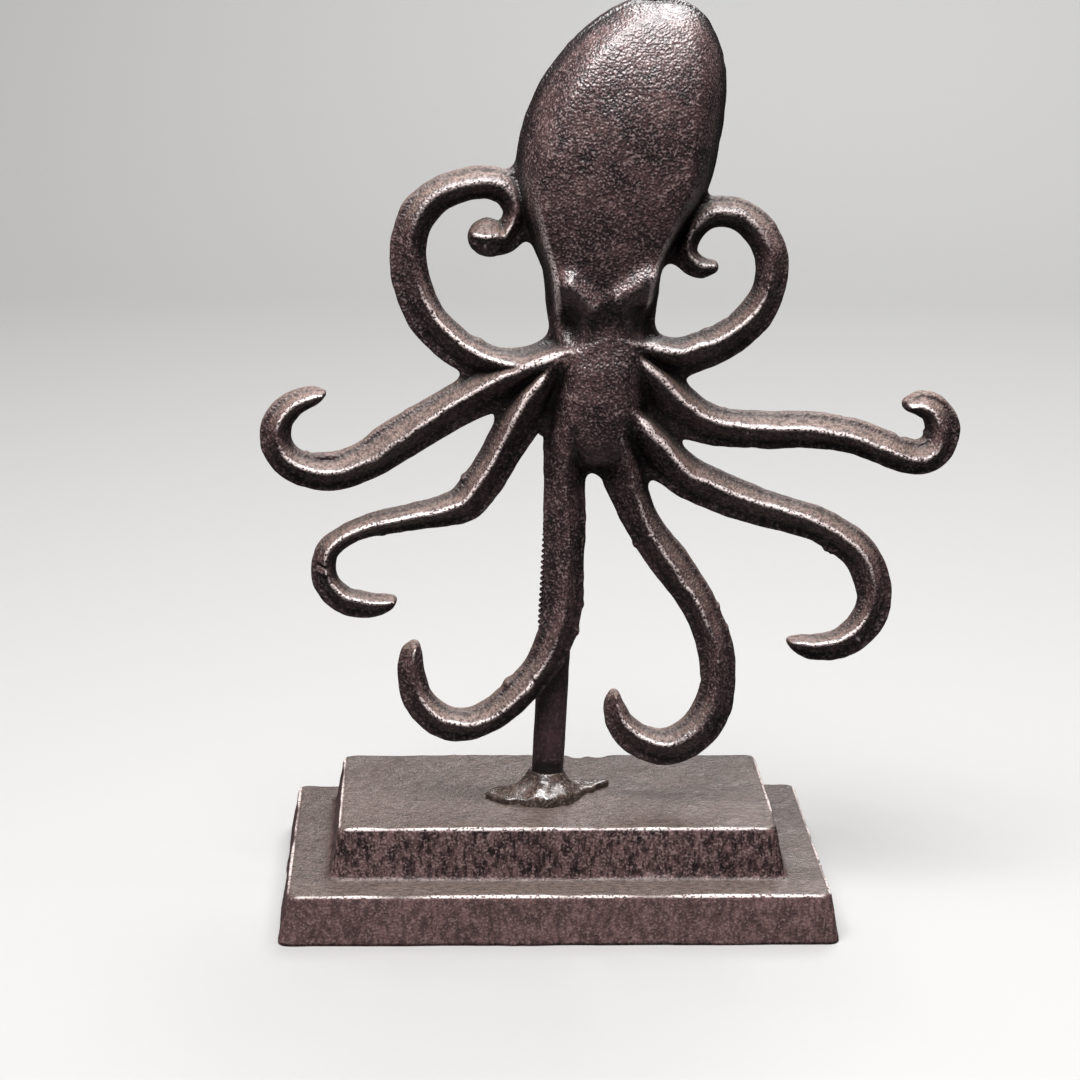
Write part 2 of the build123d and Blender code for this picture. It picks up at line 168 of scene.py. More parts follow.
# Stations of each arm from the head to the tip: place along the span, place up the height, and
# width against the full arm width.
ARM_SHARES = {
    "left_crown": [
        (-0.020, 0.562, 0.85), (-0.057, 0.556, 0.84), (-0.089, 0.543, 0.82), (-0.126, 0.534, 0.79),
        (-0.167, 0.537, 0.79), (-0.198, 0.547, 0.80), (-0.228, 0.564, 0.81), (-0.261, 0.595, 0.83),
        (-0.281, 0.632, 0.81), (-0.290, 0.674, 0.80), (-0.283, 0.712, 0.76), (-0.262, 0.742, 0.76),
        (-0.231, 0.760, 0.72), (-0.188, 0.769, 0.70), (-0.158, 0.764, 0.73), (-0.142, 0.750, 0.70),
        (-0.136, 0.733, 0.66), (-0.141, 0.715, 0.63), (-0.153, 0.698, 0.60), (-0.173, 0.692, 0.57)],
    "left_upper": [
        (-0.060, 0.549, 0.80), (-0.119, 0.527, 0.90), (-0.159, 0.512, 0.98), (-0.194, 0.497, 0.96),
        (-0.234, 0.477, 0.92), (-0.300, 0.441, 0.95), (-0.341, 0.416, 0.89), (-0.385, 0.398, 0.83),
        (-0.416, 0.396, 0.79), (-0.446, 0.403, 0.74), (-0.468, 0.418, 0.71), (-0.478, 0.441, 0.70),
        (-0.472, 0.465, 0.65), (-0.452, 0.485, 0.56), (-0.426, 0.495, 0.41), (-0.410, 0.499, 0.16)],
    "left_middle": [
        (-0.073, 0.537, 0.80), (-0.109, 0.495, 0.93), (-0.135, 0.459, 0.92), (-0.158, 0.420, 0.85),
        (-0.183, 0.383, 0.87), (-0.207, 0.356, 0.81), (-0.240, 0.345, 0.68), (-0.295, 0.335, 0.55),
        (-0.339, 0.327, 0.50), (-0.376, 0.314, 0.47), (-0.401, 0.297, 0.50), (-0.410, 0.277, 0.55),
        (-0.406, 0.249, 0.58), (-0.383, 0.226, 0.60), (-0.347, 0.219, 0.54), (-0.324, 0.222, 0.40),
        (-0.312, 0.226, 0.20)],
    "left_lower": [
        (-0.053, 0.501, 0.90), (-0.063, 0.442, 0.98), (-0.066, 0.383, 0.93), (-0.065, 0.330, 0.93),
        (-0.065, 0.271, 0.89), (-0.068, 0.204, 0.87), (-0.085, 0.156, 0.79), (-0.109, 0.121, 0.75),
        (-0.144, 0.087, 0.74), (-0.180, 0.064, 0.74), (-0.216, 0.056, 0.76), (-0.248, 0.065, 0.75),
        (-0.275, 0.091, 0.69), (-0.285, 0.125, 0.62), (-0.285, 0.149, 0.53), (-0.281, 0.163, 0.28)],
    "right_lower": [
        (-0.007, 0.478, 0.90), (0.007, 0.427, 1.00), (0.019, 0.392, 0.98), (0.030, 0.361, 0.86),
        (0.053, 0.320, 0.82), (0.090, 0.274, 0.86), (0.122, 0.234, 0.80), (0.143, 0.197, 0.78),
        (0.157, 0.159, 0.81), (0.161, 0.121, 0.80), (0.155, 0.081, 0.84), (0.131, 0.045, 0.88),
        (0.090, 0.025, 0.86), (0.049, 0.033, 0.73), (0.020, 0.056, 0.63), (0.010, 0.082, 0.46),
        (0.010, 0.097, 0.24)],
    "right_middle": [
        (0.013, 0.472, 0.90), (0.049, 0.439, 0.95), (0.081, 0.411, 0.93), (0.114, 0.389, 0.93),
        (0.164, 0.368, 0.90), (0.209, 0.353, 0.83), (0.255, 0.341, 0.77), (0.296, 0.329, 0.77),
        (0.333, 0.310, 0.80), (0.362, 0.288, 0.81), (0.379, 0.260, 0.80), (0.386, 0.228, 0.76),
        (0.373, 0.193, 0.74), (0.340, 0.168, 0.67), (0.302, 0.162, 0.56), (0.280, 0.166, 0.43),
        (0.266, 0.170, 0.22)],
    "right_upper": [
        (0.013, 0.551, 0.80), (0.052, 0.518, 0.93), (0.088, 0.487, 1.00), (0.120, 0.467, 0.93),
        (0.159, 0.456, 0.84), (0.222, 0.453, 0.81), (0.284, 0.453, 0.80), (0.333, 0.448, 0.77),
        (0.372, 0.437, 0.77), (0.411, 0.423, 0.77), (0.440, 0.418, 0.77), (0.464, 0.429, 0.77),
        (0.473, 0.453, 0.76), (0.463, 0.477, 0.68), (0.443, 0.488, 0.57), (0.424, 0.488, 0.32)],
    "right_crown": [
        (-0.014, 0.562, 0.86), (0.026, 0.560, 0.85), (0.062, 0.551, 0.84), (0.091, 0.548, 0.84),
        (0.118, 0.554, 0.83), (0.157, 0.569, 0.81), (0.197, 0.599, 0.78), (0.217, 0.633, 0.73),
        (0.221, 0.674, 0.72), (0.205, 0.707, 0.73), (0.177, 0.728, 0.69), (0.148, 0.734, 0.65),
        (0.125, 0.729, 0.65), (0.107, 0.715, 0.65), (0.097, 0.697, 0.64), (0.098, 0.680, 0.58),
        (0.109, 0.668, 0.52), (0.122, 0.663, 0.45), (0.137, 0.664, 0.30)],
}
# Where each arm's ridge runs, from head to tip at even steps along it: place across the arm
# against its half width, over the lift towards its upper side.
RIDGE_SHARES = {
    "left_crown": (0.12, 0.10, 0.14, 0.24, 0.33, 0.30, 0.12, 0.03, 0.10, 0.13, 0.30),
    "left_upper": (0.40, 0.35, 0.20, 0.05, -0.08, -0.18, -0.12, 0.00, 0.18, 0.22, 0.10),
    "left_middle": (0.40, 0.35, 0.18, 0.15, 0.10, 0.08, 0.02, 0.06, -0.32, -0.42, -0.20),
    "left_lower": (0.00, 0.00, -0.05, -0.15, -0.14, -0.05, -0.08, -0.18, 0.12, 0.20, 0.25),
    "right_lower": (-0.20, -0.24, -0.20, 0.00, 0.13, 0.07, 0.02, 0.05, 0.10, 0.34, 0.45),
    "right_middle": (-0.45, -0.35, -0.12, -0.12, -0.17, -0.12, -0.06, 0.10, 0.32, 0.32, 0.45),
    "right_upper": (-0.45, -0.38, -0.25, -0.15, -0.10, 0.00, 0.15, 0.15, 0.25, -0.30, -0.30),
    "right_crown": (-0.45, -0.30, -0.27, -0.18, -0.17, -0.14, -0.08, -0.08, -0.16, -0.20, -0.20),
}
# Where an arm's ridge is blunt: from and to, along it.
BLUNT_SHARES = {"left_crown": (0.58, 0.92), "right_crown": (0.54, 0.86), "right_lower": (0.65, 0.83)}
# Burrs and nicks: arm, place along it, place across it, half length, half width, height out of
# the side, and height over the front.
MARKS = {
    "left_crown": [(0.28, 1.0, 1.0, 0.6, 0.35, 0.0), (0.64, -1.0, 2.2, 1.0, 0.5, 0.0)],
    "left_upper": [(0.66, 1.0, 3.4, 0.7, 0.6, -0.5), (0.72, 1.0, 0.5, 0.5, 0.4, 0.0)],
    "left_middle": [(0.345, 1.0, 0.6, 0.6, 0.5, 0.0), (0.60, -1.0, 1.0, 0.6, 0.45, 0.0),
                    (0.775, 0.1, 0.35, 2.4, 0.0, -1.3), (0.79, 0.0, 0.35, 1.6, 0.0, 0.7)],
    "left_lower": [(0.615, -0.10, 1.9, 0.8, 0.0, 0.9), (0.595, 0.05, 0.4, 1.2, 0.0, -0.7),
                   (0.64, 1.0, 1.1, 0.8, 0.9, 0.4), (0.48, -1.0, 0.9, 0.6, 0.55, 0.0),
                   (0.43, -1.0, 0.5, 0.5, 0.4, 0.0)],
    "right_lower": [(0.265, 0.0, 0.3, 0.7, 0.0, 0.5), (0.275, 1.0, 0.5, 0.5, 0.45, 0.0),
                    (0.475, -1.0, 0.5, 0.5, 0.5, 0.0), (0.52, -1.0, 0.4, 0.5, 0.35, 0.0),
                    (0.575, 0.0, 0.3, 0.9, 0.0, 0.5), (0.63, 1.0, 0.6, 0.5, -0.4, 0.0)],
    "right_middle": [(0.565, 1.0, 0.7, 0.6, 0.6, 0.0), (0.58, 1.0, 0.5, 0.5, 0.3, 0.0),
                     (0.845, -0.2, 0.5, 1.7, 0.0, 0.8), (0.86, -0.3, 0.5, 1.8, 0.0, -0.7)],
    "right_upper": [(0.30, -1.0, 0.4, 0.4, 0.3, 0.0), (0.725, -1.0, 0.8, 0.7, -0.6, -0.3),
                    (0.87, -1.0, 0.7, 0.6, 0.5, 0.0), (0.36, 0.0, 0.4, 0.5, 0.0, 0.5)],
    "right_crown": [(0.28, -1.0, 1.2, 0.6, 0.35, 0.0), (0.36, -1.0, 0.6, 0.5, -0.3, 0.0)],
}
# The round end of the left crown arm: middle, and width against the full arm width.
KNOB_SHARES = (-0.180, 0.701, 0.80)

TIP_THICKNESS_SHARE = 0.80

# The body from its crown down: height, middle along the span, width and thickness against the
# mantle's, where its side wall starts against the half width, and how steep the wall is.
BODY_SHARES = [
    (1.000, 0.048, 0.14, 0.24, 0.99, 2.2), (0.994, 0.050, 0.31, 0.36, 0.99, 2.2),
    (0.981, 0.049, 0.48, 0.51, 0.99, 2.2), (0.960, 0.042, 0.65, 0.67, 0.99, 2.2),
    (0.931, 0.033, 0.80, 0.82, 0.99, 2.2), (0.895, 0.022, 0.92, 0.93, 0.98, 2.2),
    (0.854, 0.011, 0.98, 0.985, 0.98, 2.2), (0.805, 0.001, 1.00, 1.00, 0.98, 2.4),
    (0.754, -0.007, 0.94, 0.97, 0.98, 2.8), (0.706, -0.014, 0.78, 0.91, 0.97, 3.4),
    (0.662, -0.017, 0.62, 0.84, 0.97, 4.0), (0.635, -0.017, 0.58, 0.76, 0.96, 4.0),
    (0.605, -0.017, 0.55, 0.67, 0.96, 3.5), (0.580, -0.018, 0.53, 0.66, 0.96, 3.0),
    (0.555, -0.018, 0.52, 0.70, 0.97, 2.2), (0.530, -0.018, 0.52, 0.74, 0.98, 1.8),
    (0.480, -0.018, 0.50, 0.70, 0.98, 1.8), (0.435, -0.020, 0.40, 0.60, 0.98, 1.8),
    (0.400, -0.022, 0.20, 0.36, 0.98, 1.8),
]

# Brows: two ends and height over the head. Eye hollows: middle, half width, half height, depth.
BROWS = [((-10.0, 141.6), (-5.2, 137.0), 3.0), ((7.0, 142.9), (0.4, 138.5), 2.6)]
EYES = [((-10.0, 132.0), 2.7, 5.0, 4.0), ((6.0, 133.0), 2.7, 4.0, 4.6), ((3.2, 135.0), 2.2, 1.4, 1.0)]

# Unevenness of each surface in layers of noise: height, size of the cells, and seed.
OUTLINE_NOISE = [(0.16, 5.0, 11), (0.09, 1.7, 12)]
FRONT_NOISE = [(0.16, 7.0, 13), (0.07, 2.1, 14)]
BACK_NOISE = [(0.12, 6.0, 15), (0.06, 1.9, 16)]
RIDGE_NOISE = [(0.05, 3.0, 17)]
BASE_NOISE = [(0.22, 9.0, 21), (0.10, 2.4, 22)]
SHANK_NOISE = [(0.05, 3.0, 31)]
SCORCH_NOISE = [(1.2, 2.5, 32)]
WELD_NOISE = [(0.35, 3.0, 41), (0.08, 1.2, 42)]
SKIRT_NOISE = [(0.4, 2.0, 43)]
BEAD_NOISE = [(0.12, 1.4, 51)]


def noise(points, cell, seed):
    """Smooth value noise from -1 to 1 at points of two or three coordinates."""
    size = 32
    dims = points.shape[-1]
    table = np.random.default_rng(seed).uniform(-1, 1, (size,) * dims)
    at = points / cell
    low = np.floor(at).astype(int)
    part = at - low
    part = part * part * (3 - 2 * part)
    total = 0
    for corner in np.ndindex(*(2,) * dims):
        weight = 1
        for axis in range(dims):
            weight = weight * (part[..., axis] if corner[axis] else 1 - part[..., axis])
        total = total + weight * table[tuple((low[..., axis] + corner[axis]) % size for axis in range(dims))]
    return total


def uneven(points, layers):
    """Layers of noise added up."""
    return sum(tall * noise(points, cell, seed) for tall, cell, seed in layers)


def smooth_max(a, b, blend):
    """The larger of two fields, with a rounded join."""
    near = np.maximum(blend - np.abs(a - b), 0) / blend
    return np.maximum(a, b) + near * near * blend / 4


def smooth_min(a, b, blend):
    """The smaller of two fields, with a rounded join."""
    return -smooth_max(-a, -b, blend)


def fade(value, low, high):
    """0 below low, 1 above high, and smooth between."""
    t = np.clip((value - low) / (high - low), 0, 1)
    return t * t * (3 - 2 * t)


def smooth_rows(rows, parts):
    """Rows of a table with more between them, on a smooth curve through all of them."""
    rows = np.array(rows, float)
    padded = np.vstack([2 * rows[0] - rows[1], rows, 2 * rows[-1] - rows[-2]])
    found = []
    for i in range(len(rows) - 1):
        a, b, c, d = padded[i:i + 4]
        for t in np.arange(parts) / parts:
            found.append(b + t * (c - a) / 2 + t ** 2 * (2 * a - 5 * b + 4 * c - d) / 2
                         + t ** 3 * (3 * (b - c) + d - a) / 2)
    return np.array(found + [rows[-1]])


def net(field, origin, step):
    """The zero surface of a 3-D field as points and quads, one point in each cell that it crosses."""
    inside = field < 0
    shape = [n - 1 for n in field.shape]
    count = np.zeros(shape, np.int8)
    for corner in np.ndindex(2, 2, 2):
        count += inside[tuple(slice(c, c + n) for c, n in zip(corner, shape))]
    active = (count > 0) & (count < 8)
    index = np.full(shape, -1, np.int64)
    index[active] = np.arange(active.sum())
    cells = np.argwhere(active)
    total = np.zeros((len(cells), 3))
    hits = np.zeros(len(cells))
    for axis in range(3):
        along = np.eye(3, dtype=int)[axis]
        for corner in np.ndindex(2, 2, 2):
            if corner[axis]:
                continue
            start = cells + corner
            end = start + along
            value_a = field[tuple(start.T)]
            value_b = field[tuple(end.T)]
            cross = (value_a < 0) != (value_b < 0)
            share = value_a[cross] / (value_a[cross] - value_b[cross])
            total[cross] += np.array(corner) + along * share[:, None]
            hits[cross] += 1
    points = np.array(origin) + step * (cells + total / hits[:, None])
    quads = []
    for axis in range(3):
        u, v = (axis + 1) % 3, (axis + 2) % 3
        low = [slice(1, n) for n in shape]
        low[axis] = slice(0, shape[axis])
        high = list(low)
        high[axis] = slice(1, shape[axis] + 1)
        change = inside[tuple(low)].astype(np.int8) - inside[tuple(high)]
        for sign in (1, -1):
            at = np.argwhere(change == sign)
            at = at + np.array([0 if k == axis else 1 for k in range(3)])
            ring = []
            for du, dv in ((1, 1), (0, 1), (0, 0), (1, 0)):
                cell = at.copy()
                cell[:, u] -= du
                cell[:, v] -= dv
                ring.append(index[tuple(cell.T)])
            quads.append(np.stack(ring if sign > 0 else ring[::-1], axis=1))
    return points, np.vstack(quads)


def sample(field, at):
    """A field's value at grid places that aren't whole numbers."""
    low = np.clip(np.floor(at).astype(int), 0, np.array(field.shape) - 2)
    part = at - low
    total = 0
    for corner in np.ndindex(*(2,) * field.ndim):
        weight = 1
        for axis in range(field.ndim):
            weight = weight * (part[:, axis] if corner[axis] else 1 - part[:, axis])
        total = total + weight * field[tuple((low + corner).T)]
    return total


def settle(points, field, origin, step, passes=2, least_steep=0.2):
    """Moves a net's points on to the field's zero surface."""
    for _ in range(passes):
        at = (points - origin) / step
        value = sample(field, at)
        slope = np.stack([sample(field, at + e) - sample(field, at - e) for e in np.eye(3) / 2], axis=1)
        slope = slope / step
        steep = np.maximum((slope * slope).sum(axis=1), least_steep)
        move = -(value / steep)[:, None] * slope
        points = points + np.clip(move, -step / 2, step / 2)
    return points


def make_mesh(name, points, faces, values=None):
    """A smooth-shaded object from points in millimetres, with named values at its points."""
    mesh = bpy.data.meshes.new(name)
    faces = np.asarray(faces)
    mesh.vertices.add(len(points))
    mesh.vertices.foreach_set("co", (np.asarray(points) * MM).astype(np.float32).ravel())
    mesh.loops.add(faces.size)
    mesh.loops.foreach_set("vertex_index", faces.astype(np.int32).ravel())
    mesh.polygons.add(len(faces))
    mesh.polygons.foreach_set("loop_start", np.arange(0, faces.size, faces.shape[1], dtype=np.int32))
    mesh.polygons.foreach_set("use_smooth", np.ones(len(faces), bool))
    mesh.update(calc_edges=True)
    mesh.validate()
    for key, value in (values or {}).items():
        layer = mesh.attributes.new(key, "FLOAT", "POINT")
        layer.data.foreach_set("value", np.asarray(value, np.float32))
    obj = bpy.data.objects.new(name, mesh)
    bpy.context.scene.collection.objects.link(obj)
    return obj


def soften(field, passes):
    """A 2-D field blurred by a small kernel, several times."""
    for _ in range(passes):
        for axis in (0, 1):
            field = (np.roll(field, 1, axis) + 2 * field + np.roll(field, -1, axis)) / 4
    return field


def outline_distance(points, corners):
    """Signed distance from points to a closed outline, negative inside."""
    x, z = points[..., 0], points[..., 1]
    nearest = np.full(x.shape, 1e6)
    inside = np.zeros(x.shape, bool)
    for (x0, z0), (x1, z1) in zip(corners, np.roll(corners, -1, axis=0)):
        run_x, run_z = x1 - x0, z1 - z0
        length = run_x ** 2 + run_z ** 2
        if length < 1e-12:
            continue
        t = np.clip(((x - x0) * run_x + (z - z0) * run_z) / length, 0, 1)
        nearest = np.minimum(nearest, (x - x0 - t * run_x) ** 2 + (z - z0 - t * run_z) ** 2)
        if z0 != z1:
            crosses = ((z0 > z) != (z1 > z)) & (x < x0 + (z - z0) * run_x / run_z)
            inside ^= crosses
    return np.where(inside, -1, 1) * np.sqrt(nearest)


class Relief:
    """Outline and relief of the octopus over its back: fields on a grid of X and Z.

    One field says how strongly the crests are painted pale, as abraded metal and as painted
    highlight, from 0 to 1, and arm says where the arms are.
    """

    def __init__(self):
        margin = 3.0
        self.low = np.array([-span / 2 - margin, bottom - margin])
        counts = np.ceil((np.array([span, height]) + 2 * margin) / grid_step).astype(int)
        self.x = self.low[0] + grid_step * np.arange(counts[0])
        self.z = self.low[1] + grid_step * np.arange(counts[1])
        self.points = np.stack(np.meshgrid(self.x, self.z, indexing="ij"), axis=-1)
        self.far = 9.0
        self.outline = np.full(counts, self.far)
        self.rise = np.zeros(counts)
        self.crest_highlight = np.ones(counts)
        self.arm = np.zeros(counts)

    def add(self, outline, rise, blend_outline, blend_rise, crest_highlight=1.0, arm=0.0):
        """Joins another piece to the fields."""
        closer = outline < self.outline
        self.crest_highlight = np.where(closer, crest_highlight, self.crest_highlight)
        self.arm = np.where(closer, arm, self.arm)
        self.outline = smooth_min(self.outline, outline, blend_outline)
        self.rise = smooth_max(self.rise, rise, blend_rise)


def arm_fields(relief, stations):
    """An arm's outline, place across it, how far that side faces up, way along it, and length."""
    parts = 8
    rows = smooth_rows([(span * x, bottom + height * z, arm_half_width * w) for x, z, w in stations], parts)
    steps = np.linalg.norm(np.diff(rows[:, :2], axis=0), axis=1)
    way = np.concatenate([[0], np.cumsum(steps)])
    outline = np.full(relief.outline.shape, relief.far)
    across = np.full(outline.shape, 3.0)
    along = np.zeros(outline.shape)
    rising = np.zeros(outline.shape)
    reach = arm_half_width + relief.far
    for i in range(len(rows) - 1):
        start, end = rows[i, :2], rows[i + 1, :2]
        low = np.minimum(start, end) - reach
        high = np.maximum(start, end) + reach
        i0, j0 = np.maximum(((low - relief.low) / grid_step).astype(int), 0)
        i1, j1 = ((high - relief.low) / grid_step).astype(int) + 1
        part = (slice(i0, i1), slice(j0, j1))
        offset = relief.points[part] - start
        run = end - start
        t = np.clip((offset @ run) / (run @ run), 0, 1)
        gap = np.linalg.norm(offset - t[..., None] * run, axis=-1)
        half = rows[i, 2] + (rows[i + 1, 2] - rows[i, 2]) * t
        closer = gap - half < outline[part]
        side = np.sign(offset[..., 0] * run[1] - offset[..., 1] * run[0])
        outline[part] = np.where(closer, gap - half, outline[part])
        across[part] = np.where(closer, side * gap / half, across[part])
        along[part] = np.where(closer, way[i] + t * steps[i], along[part])
        rising[part] = np.where(closer, -run[0] / steps[i], rising[part])
    return outline, across, rising, along, way[-1]


def add_arm(relief, name):
    """An arm: a low side wall, and hollow flanks that rise to a wandering, sharp ridge."""
    outline, across, rising, along, length = arm_fields(relief, ARM_SHARES[name])
    taper = 1 - (1 - TIP_THICKNESS_SHARE) * along / length
    root = np.clip(1 - along / root_reach, 0, 1) ** 2
    thickness = arm_thickness * taper + (root_thickness - arm_thickness) * root
    thickness = thickness - start_dip * (1 - fade(along, 0, start_length))
    rim = arm_rim * taper
    at = along / length
    wander = np.interp(at, np.linspace(0, 1, len(RIDGE_SHARES[name])), RIDGE_SHARES[name])
    ridge = ridge_lift * rising + wander + uneven(relief.points, RIDGE_NOISE)
    q = np.where(across > ridge, (across - ridge) / (1 - ridge), (ridge - across) / (1 + ridge))
    crest = ridge_round + root_round * root
    if name in BLUNT_SHARES:
        start, end = BLUNT_SHARES[name]
        blunt = fade(at, start, start + blunt_run) * (1 - fade(at, end - blunt_run, end))
        crest = crest + blunt_round * blunt
    q = (np.sqrt(q ** 2 + crest ** 2) - crest) / (np.sqrt(1 + crest ** 2) - crest)
    faces_up = rising * np.sign(across - ridge)
    power = flank_power - lit_flank_power * faces_up - root_flank_power * root
    flank = np.clip(1 - q, 0, 1) ** power
    rise = rim + (thickness - rim) * flank - outside_fall * np.maximum(outline, 0)
    for place, side, half_length, half_width, out, over in MARKS[name]:
        far = (((along - place * length) / half_length) ** 2
               + ((across - side) * arm_half_width * mean_width_share / half_width) ** 2)
        bump = np.exp(-far)
        outline = outline - out * bump
        rise = rise + over * bump
    # Painted highlight: crests are painted palest where the arm runs level, facing the light above.
    crest_highlight = least_crest_highlight + (1 - least_crest_highlight) * fade(np.abs(rising), crest_highlight_from, crest_highlight_full)
    relief.add(outline, rise, outline_join, arm_join + root_join * root, crest_highlight, arm=1.0)


def add_knob(relief):
    """The round end of the left crown arm, with a lip along its upper side."""
    x, z, width = KNOB_SHARES
    radius = arm_half_width * width
    offset = relief.points - (span * x, bottom + height * z)
    far = np.linalg.norm(offset, axis=-1)
    dome = np.sqrt(np.clip(1 - (far / radius) ** 2, 0, 1))
    thickness = arm_thickness * TIP_THICKNESS_SHARE
    from_lip = offset[..., 1] - lip_place - lip_bow * offset[..., 0] ** 2
    lip = lip_height * np.exp(-(from_lip / lip_width) ** 2) * dome
    rise = arm_rim + (thickness - arm_rim) * dome + lip - outside_fall * np.maximum(far - radius, 0)
    relief.add(far - radius, rise, knob_join, arm_join, arm=1.0)


def add_body(relief):
    """Mantle, head and chest: rim, bevel and dome."""
    rows = smooth_rows(BODY_SHARES, 6)
    heights = bottom + height * rows[:, 0]
    middles = span * rows[:, 1]
    halves = mantle_half_width * rows[:, 2]
    edge = np.vstack([np.stack([middles + halves, heights], axis=1),
                      np.stack([middles - halves, heights], axis=1)[::-1]])
    outline = np.minimum(outline_distance(relief.points, edge), relief.far)
    z = relief.points[..., 1]

    def at(values):
        return np.interp(z, heights[::-1], values[::-1])

    half = at(halves)
    r = np.abs(relief.points[..., 0] - at(middles)) / half
    share = at(rows[:, 3])
    thickness = mantle_thickness * share
    rim = mantle_rim * np.minimum(share, 1)
    inward = np.maximum(-outline - (1 - at(rows[:, 4])) * half, 0)
    steep = at(rows[:, 5])
    wall = rim + steep * inward
    curve = np.sqrt(np.clip(1 - (dome_curve_share * r) ** 2, 0, 1))
    dome = thickness * (dome_edge_share + (1 - dome_edge_share) * curve)
    bevel = np.clip(bevel_round / steep, bevel_least, bevel_most)
    rise = smooth_min(wall, dome, bevel) - outside_fall * np.maximum(outline, 0)
    relief.add(outline, rise, outline_join, body_join)


def add_face(relief):
    """Brow ridges, and the hollows of the eyes under them."""
    x, z = relief.points[..., 0], relief.points[..., 1]
    rise = relief.rise
    for (x0, z0), half_x, half_z, depth in EYES:
        far = ((x - x0) / half_x) ** 2 + ((z - z0) / half_z) ** 2
        rise = rise - depth * np.exp(-far ** eye_edge)
    for start, end, tall in BROWS:
        start, end = np.array(start), np.array(end)
        run = end - start
        t = np.clip(((relief.points - start) @ run) / (run @ run), 0, 1)
        gap = np.linalg.norm(relief.points - start - t[..., None] * run, axis=-1)
        rise = rise + tall * np.exp(-(gap / brow_width) ** 2)
    relief.rise = rise


def octopus():
    """The octopus casting in one piece: relief on the front, flat rough back."""
    relief = Relief()
    add_body(relief)
    for name in ARM_SHARES:
        add_arm(relief, name)
    add_knob(relief)
    add_face(relief)
    plan = relief.points
    outline = relief.outline + uneven(plan, OUTLINE_NOISE)
    rise = np.maximum(relief.rise, web_level) + uneven(plan, FRONT_NOISE)
    slope = np.gradient(rise, grid_step)
    lean = 1 / np.sqrt(1 + slope[0] ** 2 + slope[1] ** 2)
    deepest = mantle_thickness + 3.0
    depth = np.arange(-2.0, deepest, grid_step)
    back = uneven(plan, BACK_NOISE)
    walls = outline[:, None, :] + wall_draft * depth[None, :, None]
    front = (depth[None, :, None] - rise[:, None, :]) * lean[:, None, :]
    behind = back[:, None, :] - depth[None, :, None]
    field = smooth_max(smooth_max(walls, front, front_edge), behind, back_edge).astype(np.float32)
    origin = np.array([relief.low[0], 0.0, relief.low[1]])
    start = np.array([relief.low[0], depth[0], relief.low[1]])
    points, quads = net(field, start, grid_step)
    points = settle(points, field, start, grid_step)
    # The grid's second axis points out of the front, and the frame's Y points to the back.
    places = np.stack([points[:, 0], back_y - points[:, 1], points[:, 2]], axis=1)
    on_plan = ((points - origin) / grid_step)[:, [0, 2]]
    # What the material is told: crests of the front, painted pale as abraded metal and as highlight;
    # hollows of the front, painted with shade; and the arms' flanks, duller, and lighter brown where
    # they face up, as painted top light.
    facing = fade(points[:, 1], *facing_range)
    crest_highlight = soften(relief.crest_highlight, blend_passes) * fade(-relief.outline, *inside_range)
    crest = sample((rise - soften(rise, crest_passes)) * crest_highlight, on_plan) * facing
    hollow = sample(soften(rise, hollow_shade_passes) - rise, on_plan) * facing
    flank = sample(soften(relief.arm, blend_passes), on_plan) * (1 - fade(crest, *crest_range))
    return make_mesh("octopus_casting", places, quads[:, ::-1],
                     {"crest": crest, "hollow": hollow, "flank": flank})


def grid(low, high, step):
    """Points of a 3-D grid between two corners."""
    axes = [np.arange(a, b + step, step) for a, b in zip(low, high)]
    return np.stack(np.meshgrid(*axes, indexing="ij"), axis=-1)


def solid(name, field_at, low, high, step, values_at=None):
    """A mesh of the surface where a function of grid points is zero."""
    field = field_at(grid(low, high, step)).astype(np.float32)
    points, quads = net(field, low, step)
    points = settle(points, field, np.array(low), step)
    return make_mesh(name, points, quads, values_at(points) if values_at else None)


def tier(points, half, bottom_z, top_z, soft=1.0):
    """A drafted block under a height, with soft corners and edges."""
    rise = (points[..., 2] - bottom_z) / (top_z - bottom_z)
    wide = np.abs(points[..., 0] - base_x) - half[0] + tier_draft * rise
    deep = np.abs(points[..., 1]) - half[1] + tier_draft * rise
    return smooth_max(smooth_max(wide, deep, base_corner), points[..., 2] - top_z, soft)


# Nicks and burrs of the base: place from the base's middle, radius, and height.
DENTS = [((6.3, 24.6, 22.2), 1.7, -1.1), ((11.2, 24.6, 22.2), 1.4, -1.4), ((20.2, -26.5, 11.0), 1.1, 0.9),
         ((23.2, -26.2, 11.0), 0.9, 0.7), ((59.9, -16.5, 10.6), 0.8, 0.6), ((17.6, -27.0, 13.4), 0.8, 0.5)]


